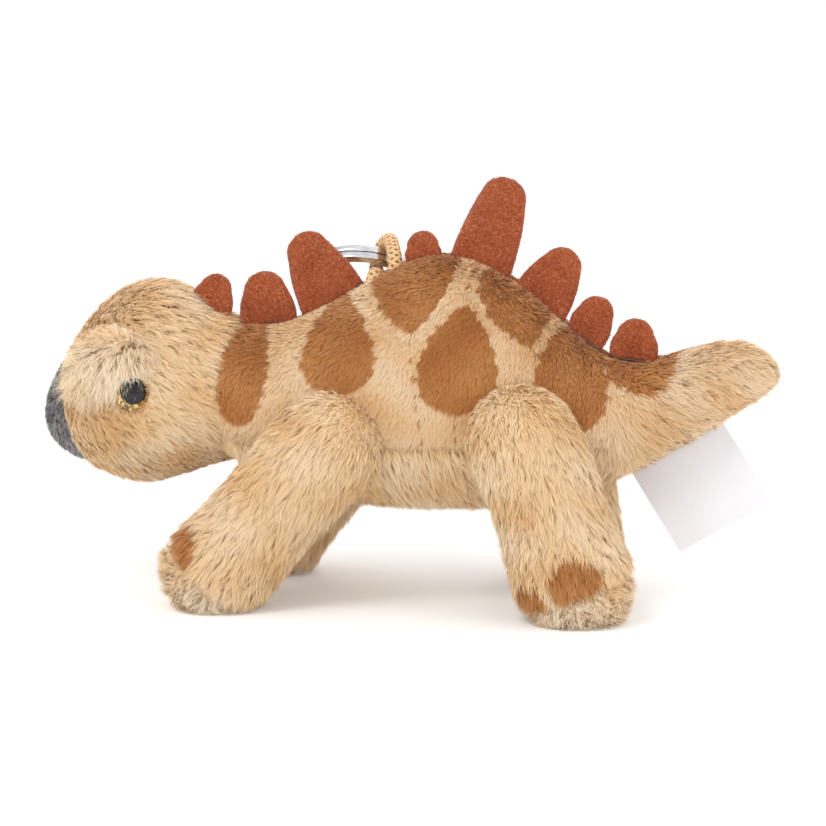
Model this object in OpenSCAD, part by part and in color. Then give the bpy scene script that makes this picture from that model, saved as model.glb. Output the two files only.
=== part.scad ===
// Small stuffed stegosaurus with a key ring on a cord loop.
// It faces -X and stands on four soles at Z = 0, with its length along X. Millimetres.

/* [Fabric] */
// Thickness of the plush backing fabric
fabric_t = 1; // [0.8:0.1:1.4]
// Gap between a cover and its stuffing
stuffing_gap = 0.2; // [0.1:0.1:0.3]
// Clearance between parts that move on each other
joint_gap = 0.4; // [0.3:0.1:0.6]
// Height of the seam between the side panels and the belly panel
belly_line = 30; // [28:1:33]

/* [Legs] */
// Radius of a front leg
front_leg_r = 8.4; // [8:0.2:8.6]
// Radius of a hind leg
hind_leg_r = 8.9; // [8.4:0.1:9]
// Distance of a leg's flat inner side from the middle plane
leg_inner_y = 11.5; // [11:0.5:12]
// Distance of a leg's centre from the middle plane
leg_centre_y = 17; // [16.5:0.5:17.5]
// Swing of a leg to either side of rest, in degrees
leg_swing = 15; // [10:1:18]

/* [Back plates] */
// Thickness of the felt
plate_t = 1.6; // [1.2:0.2:2]

/* [Face] */
// Diameter of an eye
eye_d = 7; // [6:0.5:8]
// Diameter of an eye's shank
shank_d = 2.4; // [2:0.2:3]
// Diameter of the washer that locks an eye
washer_d = 9; // [8:0.5:10]

/* [Key ring] */
// Outer diameter of the split ring
ring_d = 24; // [23:0.5:24.5]
// Width of the flat wire, across the ring
wire_w = 1.9; // [1.6:0.1:2]
// Thickness of one turn of the wire
wire_t = 1.5; // [1.2:0.1:1.5]
// Gap between the two turns
turn_gap = 0.1; // [0.05:0.05:0.2]
// Diameter of the braided cord
cord_d = 2.6; // [2.4:0.1:2.6]

/* [Care label] */
// Length of the label along its seam
label_w = 19.6; // [18:0.2:19.6]
// Depth of the label below its seam
label_h = 18.2; // [16:0.2:18.2]
// Thickness of the folded label
label_t = 0.5; // [0.4:0.1:0.8]

/* [Hidden] */

LEFT = -1;
RIGHT = 1;
FAR = 200;
SIDES = 20;
LEG_SIDES = 16;
ROUNDNESS = 0.92;
WIDEST_LEVEL = 0.45;
SMOOTH = 48;

// Colours of the fabrics and fittings
CREAM = [0.93, 0.85, 0.72];
SAND = [0.87, 0.74, 0.53];
GREY = [0.55, 0.53, 0.52];
RUST = [0.62, 0.29, 0.16];
FIBREFILL = [0.95, 0.95, 0.93];
GOLD = [0.75, 0.58, 0.28];
NYLON = [0.85, 0.85, 0.82];
STEEL = [0.78, 0.78, 0.8];
PEACH = [0.88, 0.74, 0.55];
LABEL = [0.95, 0.94, 0.95];

// Torso and tail: each station is [x, underside, top, half width]
BODY = [
    [-46, 30, 50, 10],
    [-36, 27.2, 51.2, 12.6],
    [-30, 24.4, 50.9, 14.6],
    [-22, 21.4, 51.8, 16.4],
    [-14, 19.8, 55.6, 17.3],
    [-6, 19.4, 60.2, 17.8],
    [2, 19.3, 63.9, 18],
    [9, 19.2, 64.8, 17.9],
    [16, 19.3, 62.8, 17.5],
    [23, 20, 58.6, 16.6],
    [30, 21.6, 53, 14.8],
    [37, 24.3, 48, 12],
    [43, 27, 46.2, 10],
    [50, 31, 46.4, 8.4],
    [57, 35.6, 48, 6.9],
    [63, 39.6, 48.6, 5.2],
    [67, 42, 47.2, 3.2],
    [68.8, 43.8, 45.4, 1.2]
];

// Head: stations of the same form, from the nose to the neck
HEAD = [
    [-69.3, 31.8, 35.6, 2.6],
    [-68.3, 29.2, 38.2, 6],
    [-66.2, 26.8, 42.6, 9.4],
    [-63, 24.8, 48, 12.4],
    [-59, 23.4, 52.6, 14.9],
    [-54, 22.4, 56, 16.6],
    [-48.5, 22.2, 57.4, 17.2],
    [-43, 23.6, 56.2, 16.2],
    [-38, 25.8, 53, 14.2],
    [-33, 27, 51.2, 12.8],
    [-27, 27.5, 51, 12.6]
];

// Neck and tail root: the torso ends in a ball inside the head, and the tail in a ball inside the torso
NECK = [-20, 0, 37.5];
NECK_R = 18;
TAIL_ROOT = [43, 0, 36.9];
TAIL_R = 12.8;

// Legs: [hip x, hip height, lean in degrees, distance from the hip to the foot's centre]
// The right ones stand a little closer to upright
FRONT_LEG = [-10, 32, 42, 33];
HIND_LEG = [25, 34, -21, 28.2];
FRONT_LEG_RIGHT = [-10, 32, 38, 31.1];
HIND_LEG_RIGHT = [25, 34, -9, 26.7];
FOOT_SPREAD = 1.03;
SOLE_START = 0.2;

// Plates: [base start x, base start height, base end x, base end height, tip x, tip height,
// tip radius, depth of the tab that is sewn into the seam]
PLATES = [
    [-41.2, 55.2, -33.9, 51.8, -36.3, 57.6, 3, 2],
    [-31.4, 50.9, -20.6, 52.4, -26.7, 57.2, 4.1, 2.5],
    [-19.4, 53, -7.8, 59.4, -18.2, 64.9, 4.1, 2.5],
    [0.8, 63.4, 6.6, 64.6, 3.4, 66.6, 3, 2.5],
    [8.8, 64.8, 20, 60.6, 18.7, 75.5, 4.3, 2.5],
    [21.2, 59.8, 30.4, 53, 29.7, 63.1, 3.8, 2.5],
    [31.2, 52.2, 35.2, 49.4, 36, 54.6, 3.1, 1.2],
    [39, 47.2, 47.8, 46.3, 43.7, 50.5, 3.5, 1.2]
];
// The fourth plate has flopped away from the middle plane, by this angle
FLOP = 14;
FLOP_BASE = 62;

// Eye: centre on the cheek, and its turn towards the nose
EYE = [-48.7, 16.75, 39.8];
EYE_TURN = 10;
EYE_SINK = 0.6;
EYE_DOME = 2.6;
SHANK_L = 6.5;
WASHER_T = 1;

// Brow: centre, half sizes and slope of the tuft above the eye
BROW = [-52.9, 13.4, 46.8];
BROW_SIZE = [8.8, 4.6, 4.9];
BROW_SLOPE = 12;

// Muzzle seam: a point on it and its lean
MUZZLE = [-60.6, 23.3];
MUZZLE_LEAN = 9;

// Care label: the start of its seam and the seam's slope
LABEL_START = [43, 25.6];
LABEL_SLOPE = 32;

// Key ring: centre, slope down the back and slope along the back
RING_CENTRE = [-11.56, 13.77, 56.9];
RING_SLOPE = 42;
RING_TILT = 8;

// Cord loop: route of its centre line, from one end in the back seam to the other
CORD_ROUTE = [
    [-1.6, 0, 57.9], [-1.6, 0, 59.8], [-1.7, 0.4, 61.5], [-1.9, 1.3, 63.1], [-2.4, 2.9, 64.6],
    [-3.2, 5.2, 65.8], [-4.1, 7.6, 66.8], [-5.6, 9.7, 66.1], [-6.9, 10.4, 63.9], [-7.2, 9.3, 61.5],
    [-6.5, 7.2, 60.3], [-6.3, 4.9, 60.4], [-6.1, 2.7, 60.8], [-6, 1.1, 60.4], [-6, 0, 59.3],
    [-6, 0, 57.9]
];
CORD_SIDES = 8;
ANCHOR = [7.8, 3.4, 2.6];

// ---- Shared shapes ----

// Signed power, for rings between an ellipse and a rectangle
function signed_power(v, e) = sign(v) * pow(abs(v), e);

// One upright ring of a station, moved in by w
function body_ring(s, w) =
    let (
        widest = s[1] + WIDEST_LEVEL * (s[2] - s[1]),
        up = max(s[2] - widest - w, 0.2),
        down = max(widest - s[1] - w, 0.2),
        half = max(s[3] - w, 0.2)
    )
    [for (i = [0:SIDES - 1])
        let (a = 360 * i / SIDES)
        [s[0], half * signed_power(cos(a), ROUNDNESS),
            widest + (sin(a) > 0 ? up : down) * signed_power(sin(a), ROUNDNESS)]];

// Solid through a list of rings
module loft(rings) {
    n = len(rings[0]);
    m = len(rings);
    polyhedron(
        points = [for (r = rings) each r],
        faces = concat(
            [[for (i = [0:n - 1]) i]],
            [[for (i = [n - 1:-1:0]) (m - 1) * n + i]],
            [for (j = [0:m - 2], i = [0:n - 1]) [j * n + i, (j + 1) * n + i, j * n + (i + 1) % n]],
            [for (j = [0:m - 2], i = [0:n - 1])
                [(j + 1) * n + i, (j + 1) * n + (i + 1) % n, j * n + (i + 1) % n]]
        )
    );
}

// Stations with the first or the last one moved in by w
function inset_ends(stations, w) =
    let (last = len(stations) - 1)
    [for (i = [0:last])
        let (s = stations[i])
        [i == 0 ? s[0] + w : i == last ? s[0] - w : s[0], s[1], s[2], s[3]]];

module body_loft(w) {
    loft([for (s = inset_ends(BODY, w)) body_ring(s, w)]);
}

module head_loft(w) {
    loft([for (s = inset_ends(HEAD, w)) body_ring(s, w)]);
}

// Everything on one side of the plane x = x0: dir is -1 or 1
module beyond_x(x0, dir) {
    translate([x0 + dir * FAR / 2, 0, 0])
        cube(FAR, center = true);
}

// Everything on one side of the middle plane
module side_space(side) {
    translate([0, side * FAR / 2, 0])
        cube(FAR, center = true);
}

// ---- Back plates ----

// Outline of a plate, with its tab below the seam
module plate_outline(p) {
    hull() {
        translate([p[4], p[5]])
            circle(p[6], $fn = 28);
        polygon([[p[0], p[1] - p[7]], [p[0], p[1]], [p[2], p[3]], [p[2], p[3] - p[7]]]);
    }
}

// A plate stands in the middle plane, between the two side panels
module upright_plate(p) {
    rotate([90, 0, 0])
        linear_extrude(plate_t, center = true)
            plate_outline(p);
}

module plate(i) {
    color(RUST)
        if (i == 4)
            translate([0, 0, FLOP_BASE])
                rotate([-FLOP, 0, 0])
                    translate([0, 0, -FLOP_BASE])
                        upright_plate(PLATES[i - 1]);
        else
            upright_plate(PLATES[i - 1]);
}

// Slots for the tabs of plates first to last
module tab_slots(first, last) {
    for (i = [first:last])
        plate(i);
}

// ---- Torso ----

// Torso from the neck's ball to the socket around the tail's ball, moved in by w
module torso_form(w) {
    difference() {
        body_loft(w);
        difference() {
            beyond_x(NECK[0], -1);
            translate(NECK)
                sphere(NECK_R - w, $fn = SMOOTH);
        }
        beyond_x(TAIL_ROOT[0], 1);
        translate(TAIL_ROOT)
            sphere(TAIL_R + joint_gap + w, $fn = SMOOTH);
    }
}

// Room for one leg's whole swing, on one side
module hip_room(leg, r, side) {
    reach = leg[3];
    translate([leg[0], side * (leg_inner_y - joint_gap), leg[1]])
        rotate([side * -90, 0, 0])
            linear_extrude(FAR)
                hull()
                    for (spot = [[0, 0], [-leg_swing, reach], [0, reach], [leg_swing, reach]])
                        rotate(side * (leg[2] + spot[0]))
                            translate([0, side * spot[1]])
                                circle(r * FOOT_SPREAD + joint_gap, $fn = 32);
}

module hip_rooms(side) {
    hip_room(side > 0 ? FRONT_LEG_RIGHT : FRONT_LEG, front_leg_r, side);
    hip_room(side > 0 ? HIND_LEG_RIGHT : HIND_LEG, hind_leg_r, side);
}

// Space that the cord and its anchor take inside the back
module cord_room() {
    cord_tube(cord_d + 0.4);
    anchor_block(stuffing_gap);
}

module side_panel(side) {
    color(CREAM)
        difference() {
            torso_form(0);
            torso_form(fabric_t);
            side_space(-side);
            translate([0, 0, belly_line - FAR / 2])
                cube([FAR, FAR, FAR], center = true);
            hip_rooms(side);
            tab_slots(2, 7);
            cord_tube(cord_d + 0.4);
        }
}

module belly_panel() {
    color(SAND)
        difference() {
            torso_form(0);
            torso_form(fabric_t);
            translate([0, 0, belly_line + FAR / 2])
                cube([FAR, FAR, FAR], center = true);
            hip_rooms(LEFT);
            hip_rooms(RIGHT);
        }
}

module torso_stuffing() {
    color(FIBREFILL)
        difference() {
            torso_form(fabric_t + stuffing_gap);
            hip_rooms(LEFT);
            hip_rooms(RIGHT);
            tab_slots(2, 7);
            cord_room();
        }
}

// ---- Head ----

// Head from the nose to the socket around the neck's ball, moved in by w
module head_form(w) {
    difference() {
        head_loft(w);
        beyond_x(NECK[0], 1);
        translate(NECK)
            sphere(NECK_R + joint_gap + w, $fn = SMOOTH);
    }
}

// Everything in front of the muzzle's seam
module muzzle_space() {
    translate([MUZZLE[0], 0, MUZZLE[1]])
        rotate([0, -MUZZLE_LEAN, 0])
            translate([-FAR / 2, 0, 0])
                cube(FAR, center = true);
}

// An eye's own frame: the origin is on the cheek and +Z points out of it
module at_eye(side) {
    translate([EYE[0], side * EYE[1], EYE[2]])
        rotate([0, 0, side * EYE_TURN])
            rotate([side * -90, 0, 0])
                children();
}

// Room for an eye on and under the cheek
module eye_room(side) {
    at_eye(side) {
        translate([0, 0, -EYE_SINK])
            cylinder(h = 20, r = eye_d / 2 + 0.1, $fn = SMOOTH);
        translate([0, 0, -SHANK_L - 2])
            cylinder(h = SHANK_L + 2, r = shank_d / 2 + 0.05, $fn = SMOOTH);
    }
}

module head_cover(side) {
    color(SAND)
        difference() {
            head_form(0);
            head_form(fabric_t);
            side_space(-side);
            muzzle_space();
            eye_room(side);
            tab_slots(1, 1);
        }
}

module muzzle_patch() {
    color(GREY)
        intersection() {
            difference() {
                head_form(0);
                head_form(fabric_t);
            }
            muzzle_space();
        }
}

module head_stuffing() {
    color(FIBREFILL)
        difference() {
            head_form(fabric_t + stuffing_gap);
            for (side = [LEFT, RIGHT]) {
                eye_room(side);
                at_eye(side)
                    translate([0, 0, -SHANK_L - 2])
                        cylinder(h = SHANK_L, r = washer_d / 2 + stuffing_gap, $fn = SMOOTH);
            }
            tab_slots(1, 1);
        }
}

module brow(side) {
    color(SAND)
        difference() {
            translate([BROW[0], side * BROW[1], BROW[2]])
                rotate([0, -BROW_SLOPE, 0])
                    scale(BROW_SIZE)
                        sphere(1, $fn = 12);
            head_loft(0);
            eye_room(side);
        }
}

module eye(side) {
    color(GOLD)
        at_eye(side) {
            translate([0, 0, -EYE_SINK])
                rotate_extrude($fn = SMOOTH)
                    polygon(concat(
                        [[0, 0]],
                        [for (a = [0:10:90]) [eye_d / 2 * cos(a), 0.6 + EYE_DOME * sin(a)]],
                        [[0, 0.6 + EYE_DOME]]
                    ));
            translate([0, 0, -SHANK_L])
                cylinder(h = SHANK_L, r = shank_d / 2, $fn = SMOOTH);
        }
}

module eye_washer(side) {
    color(NYLON)
        at_eye(side)
            translate([0, 0, 1 - SHANK_L])
                difference() {
                    cylinder(h = WASHER_T, r = washer_d / 2, $fn = SMOOTH);
                    translate([0, 0, -1])
                        cylinder(h = WASHER_T + 2, r = shank_d / 2, $fn = SMOOTH);
                }
}

// ---- Tail ----

// Tail from its root's ball to the tip, moved in by w
module tail_form(w) {
    difference() {
        body_loft(w);
        difference() {
            beyond_x(TAIL_ROOT[0], -1);
            translate(TAIL_ROOT)
                sphere(TAIL_R - w, $fn = SMOOTH);
        }
    }
}

module tail_cover(side) {
    color(SAND)
        difference() {
            tail_form(0);
            tail_form(fabric_t);
            side_space(-side);
            tab_slots(8, 8);
        }
}

module tail_stuffing() {
    color(FIBREFILL)
        difference() {
            tail_form(fabric_t + stuffing_gap);
            tab_slots(8, 8);
        }
}

// The label hangs from the seam under the tail
module care_label() {
    color(LABEL)
        translate([LABEL_START[0], 0, LABEL_START[1]])
            rotate([0, -LABEL_SLOPE, 0])
                translate([0, -label_t / 2, -label_h])
                    cube([label_w, label_t, label_h]);
}

// ---- Legs ----

// Rings of a leg, from the top of the hip to the end of the foot, moved in by w
function leg_rings(leg, r, w) =
    let (
        reach = leg[3],
        foot = r * FOOT_SPREAD,
        rows = [
            [-r + w, 0.2 * r], [-0.86 * r, 0.52 * r], [-0.5 * r, 0.87 * r], [0, r],
            [reach / 2, r], [reach, foot], [reach + 0.5 * foot, 0.87 * foot],
            [reach + 0.86 * foot, 0.52 * foot], [reach + foot - w, 0.2 * foot]
        ]
    )
    [for (row = rows)
        [for (i = [0:LEG_SIDES - 1])
            let (
                a = 360 * i / LEG_SIDES,
                across = max(row[1] - w, 0.2)
            )
            [across * cos(a), 0.93 * across * sin(a), row[0]]]];

// A leg's own frame: the origin is at the hip and +Z runs down the leg
module at_leg(leg, side) {
    translate([leg[0], side * leg_centre_y, leg[1]])
        rotate([0, 180 + leg[2], 0])
            children();
}

// The whole leg, cut flat by the ground and on its inner side, moved in by w
module leg_form(leg, r, side, w) {
    intersection() {
        at_leg(leg, side)
            loft(leg_rings(leg, r, w));
        translate([-FAR / 2, side > 0 ? leg_inner_y + w : -leg_inner_y - w - FAR, w])
            cube(FAR);
    }
}

// Everything past the seam of the sole
module sole_space(leg, r, side) {
    at_leg(leg, side)
        translate([-FAR / 2, -FAR / 2, leg[3] + SOLE_START * r])
            cube(FAR);
}

module leg_cover(leg, r, side) {
    color(SAND)
        difference() {
            leg_form(leg, r, side, 0);
            leg_form(leg, r, side, fabric_t);
            sole_space(leg, r, side);
        }
}

module leg_stuffing(leg, r, side) {
    color(FIBREFILL)
        leg_form(leg, r, side, fabric_t + stuffing_gap);
}

module sole(leg, r, side) {
    color(SAND)
        intersection() {
            difference() {
                leg_form(leg, r, side, 0);
                leg_form(leg, r, side, fabric_t);
            }
            sole_space(leg, r, side);
        }
}

// ---- Cord loop and key ring ----

function unit(v) = v / norm(v);

// Direction of the route at point i
function heading(i) =
    let (last = len(CORD_ROUTE) - 1)
    unit(CORD_ROUTE[min(i + 1, last)] - CORD_ROUTE[max(i - 1, 0)]);

// Tube of diameter d along the cord's route
module cord_tube(d) {
    loft([for (i = [0:len(CORD_ROUTE) - 1])
        let (
            along = heading(i),
            across = unit(cross(along, [1, 0, 0.1])),
            third = cross(along, across)
        )
        [for (k = [0:CORD_SIDES - 1])
            let (a = 360 * k / CORD_SIDES)
            CORD_ROUTE[i] + d / 2 * (cos(a) * across + sin(a) * third)]]);
}

module cord_loop() {
    color(PEACH)
        cord_tube(cord_d);
}

// The cord's two ends are stitched into this block under the seam
module anchor_block(w) {
    start = CORD_ROUTE[0];
    end = CORD_ROUTE[len(CORD_ROUTE) - 1];
    translate([(start[0] + end[0]) / 2, 0, start[2] - ANCHOR[2] / 2])
        cube([ANCHOR[0] + 2 * w, ANCHOR[1] + 2 * w, ANCHOR[2] + 2 * w], center = true);
}

module loop_anchor() {
    color(NYLON)
        anchor_block(0);
}

// One flat turn of the ring's wire
module ring_turn() {
    rotate_extrude($fn = 96)
        translate([ring_d / 2 - wire_w, 0])
            square([wire_w, wire_t]);
}

module split_ring() {
    step = wire_t + turn_gap;
    color(STEEL)
        translate(RING_CENTRE)
            rotate([-RING_SLOPE, -RING_TILT, 0])
                translate([0, 0, -wire_t - turn_gap / 2]) {
                    ring_turn();
                    translate([0, 0, step])
                        ring_turn();
                    // The wire steps up from one turn to the other here
                    translate([0.2 - ring_d / 2, -2, wire_t / 2])
                        cube([wire_w - 0.4, 4, step]);
                }
}

side_panel(LEFT);  // side_panel_left
side_panel(RIGHT);  // side_panel_right
belly_panel();
torso_stuffing();
head_cover(LEFT);  // head_cover_left
head_cover(RIGHT);  // head_cover_right
muzzle_patch();
head_stuffing();
brow(LEFT);  // brow_left
brow(RIGHT);  // brow_right
eye(LEFT);  // eye_left
eye(RIGHT);  // eye_right
eye_washer(LEFT);  // eye_washer_left
eye_washer(RIGHT);  // eye_washer_right
tail_cover(LEFT);  // tail_cover_left
tail_cover(RIGHT);  // tail_cover_right
tail_stuffing();
care_label();
plate(1);  // plate_1
plate(2);  // plate_2
plate(3);  // plate_3
plate(4);  // plate_4
plate(5);  // plate_5
plate(6);  // plate_6
plate(7);  // plate_7
plate(8);  // plate_8
leg_cover(FRONT_LEG, front_leg_r, LEFT);  // front_leg_cover_left
leg_stuffing(FRONT_LEG, front_leg_r, LEFT);  // front_leg_stuffing_left
sole(FRONT_LEG, front_leg_r, LEFT);  // front_sole_left
leg_cover(FRONT_LEG_RIGHT, front_leg_r, RIGHT);  // front_leg_cover_right
leg_stuffing(FRONT_LEG_RIGHT, front_leg_r, RIGHT);  // front_leg_stuffing_right
sole(FRONT_LEG_RIGHT, front_leg_r, RIGHT);  // front_sole_right
leg_cover(HIND_LEG, hind_leg_r, LEFT);  // hind_leg_cover_left
leg_stuffing(HIND_LEG, hind_leg_r, LEFT);  // hind_leg_stuffing_left
sole(HIND_LEG, hind_leg_r, LEFT);  // hind_sole_left
leg_cover(HIND_LEG_RIGHT, hind_leg_r, RIGHT);  // hind_leg_cover_right
leg_stuffing(HIND_LEG_RIGHT, hind_leg_r, RIGHT);  // hind_leg_stuffing_right
sole(HIND_LEG_RIGHT, hind_leg_r, RIGHT);  // hind_sole_right
loop_anchor();
cord_loop();
split_ring();
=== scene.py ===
"""The looks of a plush stegosaurus on a key ring, over its CAD model. Metres, +Z up, nose towards -X."""
import math

import bpy
import numpy as np
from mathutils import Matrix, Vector


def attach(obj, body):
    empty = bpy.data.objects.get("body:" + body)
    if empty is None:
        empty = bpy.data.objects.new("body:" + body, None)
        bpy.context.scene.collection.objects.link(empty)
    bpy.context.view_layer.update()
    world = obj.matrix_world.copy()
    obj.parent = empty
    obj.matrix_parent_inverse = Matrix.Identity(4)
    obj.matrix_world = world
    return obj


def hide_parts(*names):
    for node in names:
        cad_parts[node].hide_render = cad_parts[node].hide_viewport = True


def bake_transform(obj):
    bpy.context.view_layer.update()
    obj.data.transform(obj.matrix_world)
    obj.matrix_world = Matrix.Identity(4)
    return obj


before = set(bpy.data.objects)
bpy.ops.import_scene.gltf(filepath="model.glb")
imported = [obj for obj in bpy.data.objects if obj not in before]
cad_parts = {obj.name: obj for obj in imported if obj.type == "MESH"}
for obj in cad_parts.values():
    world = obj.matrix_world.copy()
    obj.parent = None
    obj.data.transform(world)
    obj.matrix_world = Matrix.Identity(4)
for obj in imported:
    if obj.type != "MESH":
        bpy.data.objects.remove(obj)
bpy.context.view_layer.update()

MM = 0.001
LEFT, RIGHT = -1, 1
SIDE_NAME = {LEFT: "left", RIGHT: "right"}
UP = np.array([0.0, 0.0, 1.0])

# Shapes of the CAD model, in millimetres. Rows are x, underside, top and half width.
BODY = [
    (-38, 27.6, 51.3, 12.2), (-36, 27.2, 51.2, 12.6), (-30, 24.4, 50.9, 14.6), (-22, 21.4, 51.8, 16.4),
    (-14, 19.8, 55.6, 17.3), (-6, 19.4, 60.2, 17.8), (2, 19.3, 63.9, 18), (9, 19.2, 64.8, 17.9),
    (16, 19.3, 62.8, 17.5), (23, 20, 58.6, 16.6), (30, 21.6, 53, 14.8), (37, 24.3, 48, 12),
    (43, 27, 46.2, 10), (50, 31, 46.4, 8.4), (57, 35.6, 48, 6.9), (63, 39.6, 48.6, 5.2),
    (67, 42, 47.2, 3.2), (68.8, 43.8, 45.4, 1.2),
]
HEAD = [
    (-68.5, 31.8, 35.6, 2.6), (-67.6, 29.2, 38.2, 6), (-65.7, 26.8, 42.6, 9.4), (-62.7, 24.8, 48, 12.4),
    (-59, 23.4, 52.6, 14.9), (-54, 22.4, 56, 16.6), (-48.5, 22.2, 57.4, 17.2), (-43, 23.6, 56.2, 16.2),
    (-38, 25.8, 53, 14.2), (-34, 26.9, 51.4, 13), (-32.6, 28.4, 49.8, 11.4),
]
WIDEST_LEVEL = 0.45
ROUNDNESS = 0.92
BELLY_LINE = 31
BELLY_END = 40
BACK_LEVEL = 40
UNDER_TAIL = (38, 42)
CROWN_LEVEL = 46
MUZZLE_SEAM = (-60.6, 23.3)
MUZZLE_LEAN = math.radians(9)
LEG_Y = 17
LEGS = {
    ("front", LEFT): {"hip": (-10, 32), "lean": math.radians(42), "reach": 33, "r": 8.4},
    ("front", RIGHT): {"hip": (-10, 32), "lean": math.radians(38), "reach": 31.1, "r": 8.4},
    ("hind", LEFT): {"hip": (25, 34), "lean": math.radians(-21), "reach": 28.2, "r": 8.9},
    ("hind", RIGHT): {"hip": (25, 34), "lean": math.radians(-9), "reach": 26.7, "r": 8.9},
}
FOOT_SPREAD = 1.03
SOLE_START = 0.2
EYE = (-48.7, 16.75, 39.8)
EYE_TURN = math.radians(10)
EYE_R, EYE_HEIGHT, EYE_RIM = 3.5, 2.1, 1.6
PUPIL_R = 2.6
PUPIL_PLACE = (1.45, 0.8, 1.4)
BROW = (-52.9, 13.4, 46.8)
BROW_SHIFT = (0.4, 1.0, -1.0)
BROW_SIZE = (7.6, 3.8, 4.2)
BROW_SLOPE = math.radians(12)
PLATES = {
    1: ((-41.2, 55.2), (-33.9, 51.8), (-36.3, 57.6), 3),
    2: ((-31.4, 50.9), (-20.6, 52.4), (-26.7, 57.2), 4.1),
    3: ((-19.4, 53), (-7.8, 59.4), (-18.2, 64.9), 4.1),
    4: ((0.8, 63.4), (6.6, 64.6), (3.4, 66.6), 3),
    5: ((8.8, 64.8), (20, 60.6), (18.7, 75.5), 4.3),
    6: ((21.2, 59.8), (30.4, 53), (29.7, 63.1), 3.8),
    7: ((31.2, 52.2), (37.6, 48.2), (36.3, 54.7), 3.3),
    8: ((39, 47.2), (47.8, 46.3), (43.7, 50.5), 3.5),
}
PLATE_HALF = 0.72
FLOPPED_PLATE = 4
FLOP = math.radians(14)
FLOP_BASE = 62
RING_D = 24
WIRE_W, WIRE_T, WIRE_PITCH = 1.9, 1.42, 1.6
RING_CENTRE = (-11.56, 13.77, 56.9)
RING_SLOPE = math.radians(-42)
RING_TILT = math.radians(-8)
CORD_ROUTE = [
    (-0.0016, 0, 0.0579), (-0.0016, 0, 0.0598), (-0.0017, 0.0004, 0.0615), (-0.0019, 0.0013, 0.0631),
    (-0.0024, 0.0029, 0.0646), (-0.0032, 0.0052, 0.0658), (-0.0041, 0.0076, 0.0668),
    (-0.0056, 0.0097, 0.0661), (-0.0069, 0.0104, 0.0639), (-0.0072, 0.0093, 0.0615),
    (-0.0065, 0.0072, 0.0603), (-0.0063, 0.0049, 0.0604), (-0.0061, 0.0027, 0.0608),
    (-0.006, 0.0011, 0.0604), (-0.006, 0, 0.0593), (-0.006, 0, 0.0579),
]
CORD_D = 0.0028

# Printed brown spots on both sides: (point end, round end, half width, blend towards an oval)
SPOTS = [
    ((-27, 52.5), (-28.6, 34.6), 5.2, 0.9),
    ((-9.8, 58.2), (-8.6, 41.2), 7.4, 0.35),
    ((4.4, 52.4), (2, 71), 8.8, 0.2),
    ((14, 57.4), (13.2, 38.2), 7.6, 0.3),
    ((26.2, 50.2), (19.5, 67), 6.2, 0.2),
    ((30.6, 53), (35.2, 34.6), 6.6, 0.4),
    ((47.8, 41.4), (43, 52), 7, 0.3),
]
# Printed toe spots: (distance down the leg, forward across it, outward from its middle, radius)
TOE_SPOTS = {
    "front": [(32, 6.8, 5.6, 4.1), (32.6, 7.4, -4.6, 3.2)],
    "hind": [(26.4, -1.6, 8.3, 4.4), (27.4, 6.2, 5.4, 3.4), (27.2, 6.8, -3.6, 3)],
}

# sRGB colours of the pile, at the root, the middle and the tip of a strand. The darker roots are painted
# shade deep in the pile.
SAND = ("#EBC28C", "#F6DAB0", "#FCEBD0")
CREAM = ("#E6C296", "#F0D5AF", "#F6E2C6")
BROWN = ("#B06D34", "#C8864A", "#D9A26A")
PALE = ("#F2D6AC", "#FBE8CB", "#FFF5E4")
GREY = ("#7D7A79", "#9B9897", "#B4B1B0")
WHITE = (1.0, 1.0, 1.0, 1.0)


# ---- Helpers ----

def linear(code):
    """Linear RGBA of an sRGB code."""
    channels = [int(code[i:i + 2], 16) / 255 for i in (1, 3, 5)]
    return tuple(c / 12.92 if c <= 0.04045 else ((c + 0.055) / 1.055) ** 2.4 for c in channels) + (1.0,)


def unit(v):
    return v / np.maximum(np.linalg.norm(v, axis=-1, keepdims=True), 1e-12)


def turned(a, b, angle):
    """A pair of coordinates, turned by an angle."""
    return a * math.cos(angle) - b * math.sin(angle), a * math.sin(angle) + b * math.cos(angle)


def smooth(value, low, high):
    """0 below low, 1 above high, and a smooth step between them."""
    t = np.clip((value - low) / (high - low), 0, 1)
    return t * t * (3 - 2 * t)


def catmull(rows, steps):
    """A smooth curve through the rows, with that many steps between each two."""
    rows = np.array(rows, float)
    rows = np.vstack([2 * rows[0] - rows[1], rows, 2 * rows[-1] - rows[-2]])
    out = []
    for i in range(1, len(rows) - 2):
        a, b, c, d = rows[i - 1:i + 3]
        for t in np.arange(steps) / steps:
            cubic = (-a + 3 * b - 3 * c + d) * t ** 3
            out.append(0.5 * (2 * b + (c - a) * t + (2 * a - 5 * b + 4 * c - d) * t * t + cubic))
    out.append(rows[-2])
    return np.array(out)


def loft(rings, closed_start=True, closed_end=True):
    """Points and faces of a tube through rings of equal length, with fans at its closed ends."""
    count, sides = rings.shape[:2]
    points = rings.reshape(-1, 3)
    faces = []
    for j in range(count - 1):
        for i in range(sides):
            k = (i + 1) % sides
            faces.append((j * sides + i, (j + 1) * sides + i, (j + 1) * sides + k, j * sides + k))
    for closed, ring, turn in ((closed_start, 0, 1), (closed_end, count - 1, -1)):
        if closed:
            points = np.vstack([points, rings[ring].mean(0)])
            hub = len(points) - 1
            for i in range(sides):
                edge = (ring * sides + i, ring * sides + (i + 1) % sides)[::turn]
                faces.append((edge[0], edge[1], hub))
    tris = triangles(faces)
    a, b, c = (points[tris[:, i]] - points.mean(0) for i in range(3))
    if (a * np.cross(b, c)).sum() < 0:
        faces = [f[::-1] for f in faces]
    return points, faces


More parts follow.
